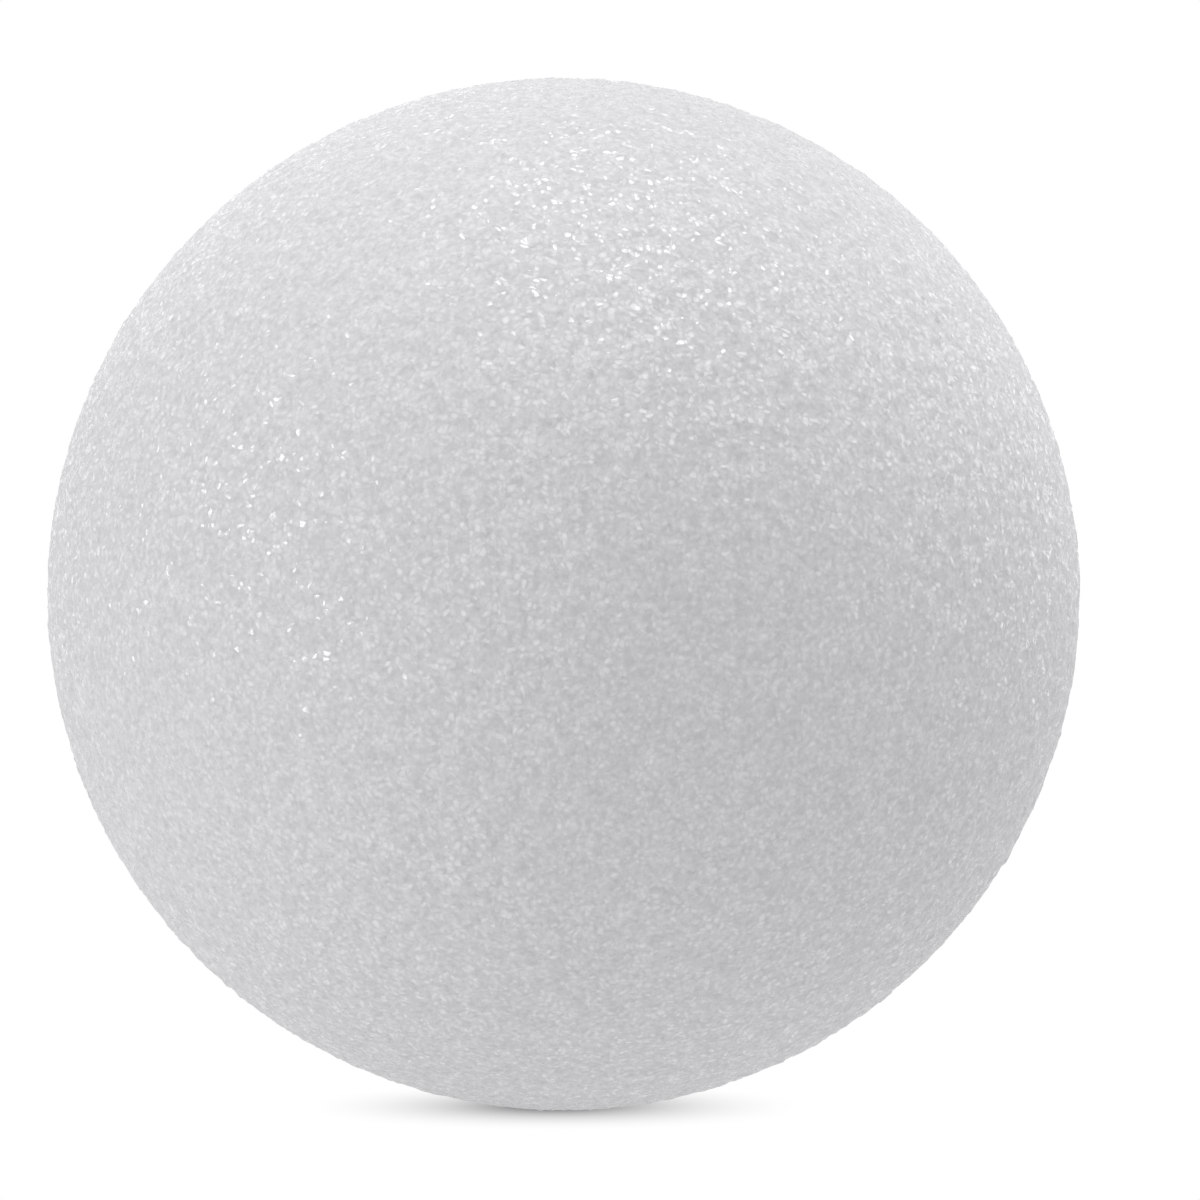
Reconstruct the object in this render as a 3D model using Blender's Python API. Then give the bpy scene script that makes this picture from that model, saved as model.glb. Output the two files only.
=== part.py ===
"""Polystyrene craft ball: one solid ball of fine-celled white foam.

Run with blender --background --python part.py, or from Blender's text editor.
Lengths are in metres and +Z is up. The origin is the centre of the ball.
"""

import bpy

# The one driving size: the ball is 2.8 inches across
BALL_DIAMETER = 0.07112

# The round surface is the fifth in the row of geodesic spheres that starts with the
# icosahedron. Each one has four times the facets of the last. This one has 5,120, and
# they lie within 0.05 mm of the true sphere, which is about the height of the foam's grain
GEODESIC_LEVEL = 5

# Bare foam skin: white with a trace of blue, and dull
FOAM_COLOUR = (0.79, 0.79, 0.806, 1.0)
FOAM_ROUGHNESS = 0.62
FOAM_METALLIC = 0.0

OBJECT_NAME = "polystyrene_ball"
BALL_NODE = "foam_ball"


def clear_scene():
    """Removes every object that the scene holds."""
    for old in list(bpy.data.objects):
        bpy.data.objects.remove(old, do_unlink=True)


def new_collection(name):
    """Makes a collection of this name in the scene."""
    collection = bpy.data.collections.new(name)
    bpy.context.scene.collection.children.link(collection)
    return collection


def foam_material():
    """White expanded polystyrene with no coat or paint."""
    material = bpy.data.materials.new("white_foam")
    material.use_nodes = True
    surface = material.node_tree.nodes["Principled BSDF"]
    surface.inputs["Base Color"].default_value = FOAM_COLOUR
    surface.inputs["Roughness"].default_value = FOAM_ROUGHNESS
    surface.inputs["Metallic"].default_value = FOAM_METALLIC
    return material


def move_to_collection(thing, collection):
    """Takes an object out of the collections that it is in and puts it in this one."""
    for other in list(thing.users_collection):
        other.objects.unlink(thing)
    collection.objects.link(thing)


def foam_ball(collection):
    """The ball: one closed solid round the origin, with its poles on Z."""
    bpy.ops.mesh.primitive_ico_sphere_add(
        subdivisions=GEODESIC_LEVEL,
        radius=BALL_DIAMETER / 2,
        location=(0.0, 0.0, 0.0),
    )
    ball = bpy.context.object
    ball.name = BALL_NODE
    ball.data.name = BALL_NODE
    ball.data.shade_smooth()
    ball.data.materials.append(foam_material())
    move_to_collection(ball, collection)


def main():
    """Builds the ball in an empty scene."""
    clear_scene()
    foam_ball(new_collection(OBJECT_NAME))


main()
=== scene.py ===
"""The looks of a polystyrene craft ball: its grained foam skin, on a pale floor in soft studio light."""

import logging
import math
from dataclasses import dataclass, field
from enum import Enum
from typing import TypeAlias

import bpy
import numpy as np
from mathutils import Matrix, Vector


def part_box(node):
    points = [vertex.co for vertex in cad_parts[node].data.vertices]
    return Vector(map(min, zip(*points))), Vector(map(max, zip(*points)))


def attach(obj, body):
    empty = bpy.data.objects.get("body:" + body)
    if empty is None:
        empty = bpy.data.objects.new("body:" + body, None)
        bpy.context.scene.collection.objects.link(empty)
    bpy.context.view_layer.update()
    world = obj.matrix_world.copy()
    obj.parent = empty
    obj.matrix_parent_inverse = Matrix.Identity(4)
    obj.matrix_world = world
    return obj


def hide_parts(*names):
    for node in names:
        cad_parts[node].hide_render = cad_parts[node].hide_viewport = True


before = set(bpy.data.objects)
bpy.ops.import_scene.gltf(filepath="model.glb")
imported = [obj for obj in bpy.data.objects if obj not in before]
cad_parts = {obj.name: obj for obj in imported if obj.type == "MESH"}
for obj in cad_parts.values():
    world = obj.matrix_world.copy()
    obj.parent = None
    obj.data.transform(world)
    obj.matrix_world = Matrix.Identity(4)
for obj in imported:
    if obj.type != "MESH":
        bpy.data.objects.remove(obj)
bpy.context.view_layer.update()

LOG = logging.getLogger("polystyrene_ball")

# One millimetre in the scene's metres
MM = 0.001

# Half of the angle that a side of a cube spans, seen from the cube's middle
EIGHTH_TURN = math.pi / 4

Colour: TypeAlias = tuple[float, float, float, float]
Direction: TypeAlias = tuple[float, float, float]
Input: TypeAlias = "Signal | float | tuple[float, ...]"

WHITE: Colour = (1.0, 1.0, 1.0, 1.0)

# The middle of what a pattern's colour output gives, taken off to make it lean both ways
HALF: Direction = (0.5, 0.5, 0.5)
NOTHING: Direction = (0.0, 0.0, 0.0)


class Signal:
    """A value on its way through a shader, written with Python's own arithmetic."""

    def __init__(self, graph: "Graph", socket: bpy.types.NodeSocket) -> None:
        """Wraps a socket.

        Args:
            graph: the node tree's maker.
            socket: the output that carries the value.
        """
        self.graph = graph
        self.socket = socket

    def _math(self, operation: str, first: Input, second: Input = 0.0) -> "Signal":
        """Adds one Math node.

        Args:
            operation: the node's operation.
            first: its first value or signal.
            second: its second value or signal, where the operation has one.

        Returns:
            The node's result.
        """
        return self.graph.add("ShaderNodeMath", {"operation": operation}, {0: first, 1: second})

    def __add__(self, other: Input) -> "Signal":
        """This value plus another."""
        return self._math("ADD", self, other)

    def __radd__(self, other: Input) -> "Signal":
        """Another value plus this one."""
        return self._math("ADD", other, self)

    def __sub__(self, other: Input) -> "Signal":
        """This value less another."""
        return self._math("SUBTRACT", self, other)

    def __rsub__(self, other: Input) -> "Signal":
        """Another value less this one."""
        return self._math("SUBTRACT", other, self)

    def __mul__(self, other: Input) -> "Signal":
        """This value times another."""
        return self._math("MULTIPLY", self, other)

    def __rmul__(self, other: Input) -> "Signal":
        """Another value times this one."""
        return self._math("MULTIPLY", other, self)

    def __abs__(self) -> "Signal":
        """This value without its sign."""
        return self._math("ABSOLUTE", self)

    def larger(self, other: Input) -> "Signal":
        """The larger of this value and another."""
        return self._math("MAXIMUM", self, other)


class Graph:
    """Makes the nodes of one material or world."""

    def __init__(self, tree: bpy.types.NodeTree) -> None:
        """Empties the tree.

        Args:
            tree: the node tree to fill.
        """
        self.tree = tree
        tree.nodes.clear()

    def add(
        self,
        kind: str,
        settings: dict[str, str | bool] | None = None,
        sockets: dict[str | int, Input] | None = None,
        output: str | int = 0,
    ) -> Signal:
        """Adds one node.

        Args:
            kind: the node's type.
            settings: its own settings, which are set first.
            sockets: values or signals for its inputs, by name or number.
            output: the output that is wanted.

        Returns:
            The signal of that output, or the first input of a node that has no outputs.
        """
        node = self.tree.nodes.new(kind)
        for name, value in (settings or {}).items():
            setattr(node, name, value)
        for key, value in (sockets or {}).items():
            if isinstance(value, Signal):
                self.tree.links.new(value.socket, node.inputs[key])
            else:
                node.inputs[key].default_value = value
        return Signal(self, node.outputs[output] if node.outputs else node.inputs[0])

    def other(self, signal: Signal, output: str) -> Signal:
        """Another output of the node that a signal comes from."""
        return Signal(self, signal.socket.node.outputs[output])

    def vector(self, operation: str, first: Input, second: Input = NOTHING) -> Signal:
        """The vector that one Vector Math node makes of one or two vectors."""
        return self.add("ShaderNodeVectorMath", {"operation": operation}, {0: first, 1: second})

    def measure(self, operation: str, first: Input, second: Input) -> Signal:
        """The number that one Vector Math node makes of two vectors."""
        settings = {"operation": operation}
        return self.add("ShaderNodeVectorMath", settings, {0: first, 1: second}, output="Value")

    def scaled(self, vector: Signal, by: Input) -> Signal:
        """A vector made longer or shorter."""
        return self.add("ShaderNodeVectorMath", {"operation": "SCALE"}, {0: vector, "Scale": by})

    def ramp(self, value: Signal, start: float, end: float, smooth: bool = True) -> Signal:
        """A value that rises from 0 to 1 while another goes from start to end.

        Args:
            value: the signal that is read.
            start: where the result is 0.
            end: where the result is 1, on either side of start.
            smooth: whether the rise is eased at both ends.

        Returns:
            The result.
        """
        return self.add(
            "ShaderNodeMapRange",
            {"interpolation_type": "SMOOTHSTEP" if smooth else "LINEAR", "clamp": True},
            {"Value": value, "From Min": start, "From Max": end},
        )

    def mix_colours(self, factor: Signal, first: Colour, second: Colour) -> Signal:
        """A colour between two.

        Args:
            factor: 0 for the first colour, 1 for the second.
            first: the first colour.
            second: the second colour.

        Returns:
            The mixed colour.
        """
        settings = {"data_type": "RGBA", "clamp_factor": True}
        return self.add("ShaderNodeMix", settings, {0: factor, 6: first, 7: second}, output=2)

    def mix_vectors(self, factor: Signal, first: Signal, second: Signal) -> Signal:
        """A vector between two.

        Args:
            factor: 0 for the first vector, 1 for the second.
            first: the first vector.
            second: the second vector.

        Returns:
            The mixed vector.
        """
        settings = {"data_type": "VECTOR"}
        return self.add("ShaderNodeMix", settings, {0: factor, 4: first, 5: second}, output=1)

    def mix_shaders(self, factor: Signal, first: Signal, second: Signal) -> Signal:
        """The first shader where the factor is 0, and the second where it is 1."""
        return self.add("ShaderNodeMixShader", {}, {0: factor, 1: first, 2: second})

    def object_place(self) -> Signal:
        """The place on the object, in metres."""
        return self.add("ShaderNodeTexCoord", output="Object")


@dataclass(frozen=True)
class FoamFinish:
    """Bare fine-celled polystyrene foam: white, dull and grained, with cell walls that glint.

    Sizes and heights are in metres. Tones are shares of the way from dark to pale.

    Attributes:
        name: the material's name.
        dark: the colour of the grain's darkest places.
        pale: the colour of its palest places.
        roughness: how dull the foam is between the shining walls.
        refraction: the index of refraction of polystyrene.
        grain: the size of the fine grain.
        grain_detail: how many finer layers the fine grain has.
        grain_tone: how much the fine grain changes the tone.
        grain_height: how far the fine grain rises.
        blotch: the size of the coarse grain.
        blotch_detail: how many finer layers the coarse grain has.
        blotch_tone: how much the coarse grain changes the tone.
        blotch_height: how far the coarse grain rises.
        fading: how much of each layer's strength the next finer one keeps.
        cell: the size of the foam's cells.
        cell_edge: how far from its middle a cell's bulge ends, in cell sizes.
        cell_highlight: how much paler the middle of a cell's bulge is painted: a soft painted highlight,
            whose strength differs at random from cell to cell.
        cell_height: how far the cells bulge.
        warp: how far the coarse grain pushes the cells out of shape.
        tone_shift: what every tone is moved by.
        wall_width: half the width of a shining cell wall.
        wall_core: where a wall starts to fade, in those half widths.
        wall_reach: where it has faded, in those half widths.
        border_start: how far from its cell's border a wall starts, in cell sizes.
        border_end: how far from that border it shines in full, in cell sizes.
        wall_share: the share of the cells with a wall that shines.
        wall_luck: the chance value from which a wall shines in full.
        wall_gather: how much the coarse grain gathers the shining walls in places.
        wall_tilt: how far such a wall leans to its own side.
        wall_onset: the gloss from which the surface has the wall's own tilt.
        wall_roughness: how dull the shiniest walls are.
        wall_paleness: how much paler a shining wall is.
    """

    name: str = "white_foam"
    dark: Colour = (0.622, 0.619, 0.638, 1.0)
    pale: Colour = (0.942, 0.939, 0.957, 1.0)
    roughness: float = 0.80
    refraction: float = 1.59
    grain: float = 0.40 * MM
    grain_detail: float = 1.3
    grain_tone: float = 0.86
    grain_height: float = 0.026 * MM
    blotch: float = 1.1 * MM
    blotch_detail: float = 0.5
    blotch_tone: float = 0.26
    blotch_height: float = 0.010 * MM
    fading: float = 0.55
    cell: float = 0.39 * MM
    cell_edge: float = 0.8
    cell_highlight: float = 0.40
    cell_height: float = 0.031 * MM
    warp: float = 0.8 * MM
    tone_shift: float = -0.20
    wall_width: float = 0.145 * MM
    wall_core: float = 0.4
    wall_reach: float = 1.4
    border_start: float = 0.02
    border_end: float = 0.13
    wall_share: float = 0.85
    wall_luck: float = 0.60
    wall_gather: float = 0.5
    wall_tilt: float = 0.28
    wall_onset: float = 0.4
    wall_roughness: float = 0.14
    wall_paleness: float = 0.15

    def build(self) -> bpy.types.Material:
        """Makes the material.

        Returns:
            The foam's material.
        """
        material = bpy.data.materials.new(self.name)
        material.use_nodes = True
        graph = Graph(material.node_tree)
        place = graph.object_place()
        grain = self._noise(graph, place, self.grain, self.grain_detail)
        blotch = self._noise(graph, place, self.blotch, self.blotch_detail)
        sway = graph.vector("SUBTRACT", graph.other(blotch, "Color"), HALF)
        bent = graph.vector("ADD", place, graph.scaled(sway, self.warp))
        cells = self._voronoi(graph, bent, "F1", "Position")
        chance = graph.add("ShaderNodeTexWhiteNoise", {"noise_dimensions": "3D"}, {"Vector": cells})
        domes = graph.ramp(graph.other(cells, "Distance"), self.cell_edge, 0.0)
        lean = graph.vector("SUBTRACT", graph.other(cells, "Color"), HALF)
        luck = chance + (blotch - 0.5) * self.wall_gather
        shine = graph.ramp(luck, 1 - self.wall_share, self.wall_luck, smooth=False)
        gloss = shine * self._wall(graph, bent, cells, lean)
        # Fine and coarse grain give the foam's own tone; the paler middles of the cells' bulges are a
        # painted highlight, of random strength in each cell.
        foam_tone_and_highlight = grain * self.grain_tone + blotch * self.blotch_tone + domes * chance * self.cell_highlight
        tone = foam_tone_and_highlight + gloss * self.wall_paleness + self.tone_shift
        surface = graph.add(
            "ShaderNodeBsdfPrincipled",
            {},
            {
                "Base Color": graph.mix_colours(tone, self.dark, self.pale),
                "Roughness": self.roughness - gloss * (self.roughness - self.wall_roughness),
                "Normal": self._normal(graph, (grain, blotch, domes), lean, gloss),
                "Metallic": 0.0,
                "IOR": self.refraction,
            },
        )
        graph.add("ShaderNodeOutputMaterial", {}, {"Surface": surface})
        return material

    def _noise(self, graph: Graph, place: Signal, size: float, detail: float) -> Signal:
        """Soft noise round 0.5.

        Args:
            graph: the material's node maker.
            place: the place on the object.
            size: the size of its lumps.
            detail: how many finer layers it has.

        Returns:
            The noise, whose node has a colour output too.
        """
        return graph.add(
            "ShaderNodeTexNoise",
            {"noise_dimensions": "3D"},
            {"Vector": place, "Scale": 1 / size, "Detail": detail, "Roughness": self.fading},
        )

    def _voronoi(self, graph: Graph, place: Signal, feature: str, output: str) -> Signal:
        """The pattern of the foam's cells.

        Args:
            graph: the material's node maker.
            place: the place on the object.
            feature: what the pattern measures.
            output: the output that is wanted.

        Returns:
            That output of the pattern.
        """
        return graph.add(
            "ShaderNodeTexVoronoi",
            {"feature": feature, "voronoi_dimensions": "3D"},
            {"Vector": place, "Scale": 1 / self.cell, "Randomness": 1.0},
            output=output,
        )

    def _wall(self, graph: Graph, place: Signal, cells: Signal, lean: Signal) -> Signal:
        """1 on the short flat wall in the middle of each cell, and 0 round it.

        Args:
            graph: the material's node maker.
            place: the place on the object.
            cells: the middle of the cell at that place.
            lean: the cell's own direction, across its wall.

        Returns:
            The walls.
        """
        across = graph.vector("NORMALIZE", lean)
        off = graph.measure("DOT_PRODUCT", graph.vector("SUBTRACT", place, cells), across)
        reach, core = self.wall_reach * self.wall_width, self.wall_core * self.wall_width
        borders = self._voronoi(graph, place, "DISTANCE_TO_EDGE", "Distance")
        return graph.ramp(abs(off), reach, core) * graph.ramp(borders, self.border_start, self.border_end)

    def _normal(
        self, graph: Graph, reliefs: tuple[Signal, Signal, Signal], lean: Signal, gloss: Signal
    ) -> Signal:
        """The way that the surface faces: the grain's relief, and each shining wall at its own tilt.

        Args:
            graph: the material's node maker.
            reliefs: the fine grain, the coarse grain and the cells.
            lean: each cell's own direction.
            gloss: how shiny the walls are.

        Returns:
            The normal.
        """
        heights = (self.grain_height, self.blotch_height, self.cell_height)
        grain, blotch, domes = (relief * (height / MM) for relief, height in zip(reliefs, heights))
        bump = graph.add("ShaderNodeBump", {}, {"Height": grain + blotch + domes, "Distance": MM})
        flat = graph.add("ShaderNodeNewGeometry", output="Normal")
        leaning = graph.vector("ADD", flat, graph.scaled(lean, 2 * self.wall_tilt))
        share = graph.ramp(gloss, 0.0, self.wall_onset, smooth=False)
        return graph.vector("NORMALIZE", graph.mix_vectors(share, bump, leaning))


class Pattern(Enum):
    """The patterns that raise and sink the ball's skin."""

    LUMPS = "CLOUDS"
    CELLS = "VORONOI"


@dataclass(frozen=True)
class Relief:
    """One layer of the skin's relief.

    Attributes:
        name: what the layer is called.
        pattern: the pattern that it follows.
        size: the size of the pattern, in metres.
        height: how far it goes from its lowest to its highest, in metres.
    """

    name: str
    pattern: Pattern
    size: float
    height: float

    def press(self, ball: bpy.types.Object) -> None:
        """Displaces the skin by this layer, half of it outwards and half inwards.

        Args:
            ball: the ball's object.
        """
        texture = bpy.data.textures.new(self.name, self.pattern.value)
        texture.noise_scale = self.size
        layer = ball.modifiers.new(self.name, "DISPLACE")
        layer.texture = texture
        layer.texture_coords = "LOCAL"
        layer.direction = "NORMAL"
        layer.strength = self.height
        layer.mid_level = 0.5
        bpy.ops.object.modifier_apply(modifier=layer.name)


@dataclass
class FoamBall:
    """The ball's skin, which stands for the whole solid ball.

    Attributes:
        centre: the middle of the ball.
        radius: the radius of the solid that the skin stands for, in metres.
        name: the skin's name.
        node: the solid's node.
        level: the row number of the geodesic sphere that the skin starts from.
        cuts: how many cuts each of its edges then gets.
        jitter: how far each point is moved at random, before the skin is made round again.
        jitter_seed: the number that those moves start from.
        pits: how far each point is raised or sunk at random, in metres.
        pit_seed: the number that the pits start from.
        sunk: how far the round skin lies inside the radius, so that its relief stays there too.
        map_name: the name of the skin's flat map.
        map_columns: how many sides of the cube the map has in a row.
        map_rows: how many such rows it has.
        map_inset: the share of its own field that each side fills.
        finish: the foam's finish.
        reliefs: the layers of the skin's relief.
    """

    centre: Vector
    radius: float
    name: str = "ball_skin"
    node: str = "foam_ball"
    level: int = 6
    cuts: int = 2
    jitter: float = 0.05 * MM
    jitter_seed: int = 5
    pits: float = 0.07 * MM
    pit_seed: int = 7
    sunk: float = 0.135 * MM
    map_name: str = "OFBake"
    map_columns: int = 3
    map_rows: int = 2
    map_inset: float = 0.96
    finish: FoamFinish = field(default_factory=FoamFinish)
    reliefs: tuple[Relief, ...] = (
        Relief("beads", Pattern.CELLS, size=2.2 * MM, height=0.04 * MM),
        Relief("lumps", Pattern.LUMPS, size=1.4 * MM, height=0.10 * MM),
        Relief("grain", Pattern.LUMPS, size=0.8 * MM, height=0.20 * MM),
    )

    def build(self) -> bpy.types.Object:
        """Models the ball's skin and dresses it.

        Returns:
            The ball's object.
        """
        bpy.ops.object.select_all(action="DESELECT")
        bpy.ops.mesh.primitive_ico_sphere_add(
            subdivisions=self.level, radius=self.radius, location=self.centre
        )
        ball = bpy.context.object
        ball.name = self.name
        ball.data.name = self.name
        self._refine(ball)
        self._pit()
        for relief in self.reliefs:
            relief.press(ball)
        bpy.ops.object.transform_apply(location=True, rotation=True, scale=True)
        ball.data.shade_smooth()
        self._lay_flat(ball.data)
        ball.data.materials.clear()
        ball.data.materials.append(self.finish.build())
        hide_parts(self.node)
        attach(ball, "root")
        return ball

    def _refine(self, ball: bpy.types.Object) -> None:
        """Cuts the skin fine enough for its grain, and makes it round again.

        Args:
            ball: the ball's object, which is the active one.
        """
        bpy.ops.object.mode_set(mode="EDIT")
        bpy.ops.mesh.select_all(action="SELECT")
        bpy.ops.mesh.subdivide(number_cuts=self.cuts)
        bpy.ops.transform.vertex_random(
            offset=self.jitter, uniform=0.0, normal=0.0, seed=self.jitter_seed
        )
        bpy.ops.object.mode_set(mode="OBJECT")
        rounding = ball.modifiers.new("round", "CAST")
        rounding.cast_type = "SPHERE"
        rounding.factor = 1.0
        rounding.use_radius_as_size = False
        rounding.size = self.radius - self.sunk
        bpy.ops.object.modifier_apply(modifier=rounding.name)

    def _pit(self) -> None:
        """Raises and sinks each point of the active object's skin a little, at random."""
        bpy.ops.object.mode_set(mode="EDIT")
        bpy.ops.mesh.select_all(action="SELECT")
        bpy.ops.transform.vertex_random(offset=self.pits, uniform=0.0, normal=1.0, seed=self.pit_seed)
        bpy.ops.object.mode_set(mode="OBJECT")

    def _lay_flat(self, mesh: bpy.types.Mesh) -> None:
        """Maps the skin as the six sides of a cube, in rows, with even angles on each.

        Args:
            mesh: the skin's mesh, all of triangles.
        """
        points = np.empty(len(mesh.vertices) * 3, np.float32)
        mesh.vertices.foreach_get("co", points)
        ends = np.empty(len(mesh.loops), np.int32)
        mesh.loops.foreach_get("vertex_index", ends)
        corners = points.reshape(-1, 3)[ends]
        middles = corners.reshape(-1, 3, 3).mean(axis=1)
        axis = np.abs(middles).argmax(axis=1)
        sign = np.sign(middles[np.arange(len(middles)), axis])
        axis, sign = np.repeat(axis, 3), np.repeat(sign, 3)
        every = np.arange(len(corners))
        depth = np.abs(corners[every, axis])
        right = np.arctan2(corners[every, (axis + 1) % 3] * sign, depth) / EIGHTH_TURN
        up = np.arctan2(corners[every, (axis + 2) % 3], depth) / EIGHTH_TURN
        side = 2 * axis + (sign > 0)
        column, row = side % self.map_columns, side // self.map_columns
        flat = np.stack(
            [
                (column + 0.5 + self.map_inset * right / 2) / self.map_columns,
                (row + 0.5 + self.map_inset * up / 2) / self.map_rows,
            ],
            axis=1,
        )
        layer = mesh.uv_layers.new(name=self.map_name)
        layer.data.foreach_set("uv", flat.astype(np.float32).ravel())


@dataclass(frozen=True)
class Lamp:
    """A square soft box that faces the ball, with its lengths in metres.

    Attributes:
        name: what the lamp is called.
        towards: the direction of the lamp from the ball.
        distance: how far it stands.
        side: its side's length.
        glow: its surface's brightness.
    """

    name: str
    towards: Direction
    distance: float
    side: float
    glow: float

    def build(self) -> bpy.types.Object:
        """Hangs the lamp.

        Returns:
            The lamp's object.
        """
        direction = Vector(self.towards).normalized()
        bpy.ops.object.light_add(type="AREA", location=direction * self.distance)
        lamp = bpy.context.object
        lamp.name = self.name
        lamp.rotation_euler = direction.to_track_quat("Z", "Y").to_euler()
        lamp.data.shape = "SQUARE"
        lamp.data.size = self.side
        lamp.data.energy = self.glow * math.pi * self.side**2
        lamp.visible_camera = False
        return lamp


@dataclass
class Studio:
    """The pale floor, the pale surroundings and the lamps, with lengths in metres.

    Attributes:
        floor_height: where the floor lies.
        side: the floor's side.
        shadow_middle: the middle of the painted shadow on the floor.
        shadow_core: how far from there the painted shadow shows in full.
        shadow_reach: how far from there the painted shadow ends.
        painted_shadow_colour: the grey of the floor's diffuse surface, which shows only in the painted
            shadow, where the ball's real shadow falls on it too.
        sky: how much light the surroundings give.
        floor_glow: how brightly the floor glows for the ball, a glow without shadow that stands in for
            the light a floor gives back.
        lamps: the lamps.
    """

    floor_height: float
    side: float = 8.0
    shadow_middle: tuple[float, float] = (-0.6 * MM, 2.2 * MM)
    shadow_core: float = 2.6 * MM
    shadow_reach: float = 18.0 * MM
    painted_shadow_colour: Colour = (0.50, 0.495, 0.49, 1.0)
    sky: float = 0.30
    floor_glow: float = 0.714
    lamps: tuple[Lamp, ...] = (
        Lamp("top_lamp", (0.166, 0.207, 0.959), distance=0.9, side=0.40, glow=3.3),
        Lamp("left_lamp", (-0.940, -0.210, 0.270), distance=0.9, side=0.31, glow=6.0),
        Lamp("left_front_lamp", (-0.489, -0.847, 0.208), distance=1.2, side=1.2, glow=0.66),
        Lamp("left_back_lamp", (-0.489, 0.847, 0.208), distance=1.2, side=1.2, glow=0.53),
        Lamp("right_back_lamp", (0.865, 0.499, 0.052), distance=1.2, side=1.8, glow=0.67),
        Lamp("right_top_lamp", (0.277, -0.115, 0.954), distance=1.2, side=1.2, glow=1.31),
    )

    def build(self) -> None:
        """Lays the floor, and sets the surroundings and the lamps."""
        self._floor()
        self._world()
        for lamp in self.lamps:
            lamp.build()

    def _seen_white(self, graph: Graph) -> Signal:
        """1 for the rays that see the white background.

        Args:
            graph: the node maker of the floor or the surroundings.

        Returns:
            The mask.
        """
        path = graph.add("ShaderNodeLightPath", output="Is Camera Ray")
        glossy = graph.other(path, "Is Glossy Ray")
        return path.larger(glossy).larger(graph.other(path, "Is Transmission Ray"))

    def _floor(self) -> None:
        """Lays a white floor with a painted shadow under the ball: a grey patch that fades out with
        distance, on which the ball's real shadow falls.
        """
        bpy.ops.mesh.primitive_plane_add(size=self.side, location=(0.0, 0.0, self.floor_height))
        floor = bpy.context.object
        floor.name = "floor"
        floor.data.transform(floor.matrix_world)
        floor.matrix_world.identity()
        material = bpy.data.materials.new("pale_floor")
        material.use_nodes = True
        graph = Graph(material.node_tree)
        white = graph.add("ShaderNodeEmission", {}, {"Color": WHITE, "Strength": 1.0})
        shaded = graph.add("ShaderNodeBsdfDiffuse", {}, {"Color": self.painted_shadow_colour})
        # The floor glows though it is no lamp: for the ball it is a painted light from below, in place of
        # bounced light.
        glow = graph.add("ShaderNodeEmission", {}, {"Color": WHITE, "Strength": self.floor_glow})
        # Painted shadow: round the ball the camera sees a grey diffuse patch instead of white, faded out
        # by distance; the ball's real shadow falls on it.
        away = graph.measure("DISTANCE", graph.object_place(), (*self.shadow_middle, self.floor_height))
        near = graph.ramp(away, self.shadow_reach, self.shadow_core, smooth=False)
        seen = graph.mix_shaders(near * near, white, shaded)
        surface = graph.mix_shaders(self._seen_white(graph), glow, seen)
        graph.add("ShaderNodeOutputMaterial", {}, {"Surface": surface})
        floor.data.materials.append(material)

    def _world(self) -> None:
        """Sets white surroundings, and the soft light that they give."""
        world = bpy.data.worlds.new("pale_surroundings")
        bpy.context.scene.world = world
        world.use_nodes = True
        graph = Graph(world.node_tree)
        light = graph.add("ShaderNodeBackground", {}, {"Color": WHITE, "Strength": self.sky})
        white = graph.add("ShaderNodeBackground", {}, {"Color": WHITE, "Strength": 1.0})
        surface = graph.mix_shaders(self._seen_white(graph), light, white)
        graph.add("ShaderNodeOutputWorld", {}, {"Surface": surface})


@dataclass(frozen=True)
class PhotoCamera:
    """The camera at the photograph's viewing angle.

    Attributes:
        radius: the ball's radius, in metres.
        frame_side: the side of the square frame, in pixels.
        ball_x: how far the ball's middle is from the frame's left side, in pixels.
        ball_y: how far the ball's middle is from the frame's top, in pixels.
        ball_radius: the ball's radius in the frame, in pixels.
        elevation: how far the camera looks down, in degrees.
        lens: the focal length, in millimetres.
        sensor: the sensor's width, in millimetres.
        nearest: the nearest distance that the camera sees, in metres.
    """

    radius: float
    frame_side: int = 1200
    ball_x: float = 563.55
    ball_y: float = 594.15
    ball_radius: float = 517.4
    elevation: float = 2.55
    lens: float = 300.0
    sensor: float = 36.0
    nearest: float = 0.01

    def build(self) -> bpy.types.Object:
        """Sets the camera up so that the ball has its place and size in the frame.

        Returns:
            The camera's object.
        """
        focal = self.lens / self.sensor * self.frame_side
        distance = self.radius / math.sin(math.atan(self.ball_radius / focal))
        rise = math.radians(self.elevation)
        bpy.ops.object.camera_add(
            location=(0.0, -distance * math.cos(rise), distance * math.sin(rise)),
            rotation=(math.pi / 2 - rise, 0.0, 0.0),
        )
        camera = bpy.context.object
        camera.data.lens = self.lens
        camera.data.sensor_width = self.sensor
        camera.data.shift_x = (self.frame_side / 2 - self.ball_x) / self.frame_side
        camera.data.shift_y = (self.ball_y - self.frame_side / 2) / self.frame_side
        camera.data.clip_start = self.nearest
        bpy.context.scene.camera = camera
        return camera


def main() -> None:
    """Builds the ball, the studio round it and the camera."""
    logging.basicConfig(level=logging.INFO, format="%(name)s: %(message)s")
    low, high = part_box("foam_ball")
    radius = (high.x - low.x) / 2
    ball = FoamBall(centre=(low + high) / 2, radius=radius).build()
    LOG.info("%s has %d faces", ball.name, len(ball.data.polygons))
    Studio(floor_height=low.z).build()
    LOG.info("the floor lies at %.5f m", low.z)
    camera = PhotoCamera(radius).build()
    LOG.info("the camera stands %.3f m away", camera.location.length)
    bpy.context.scene.view_settings.view_transform = "Standard"


if __name__ == "__main__":
    main()
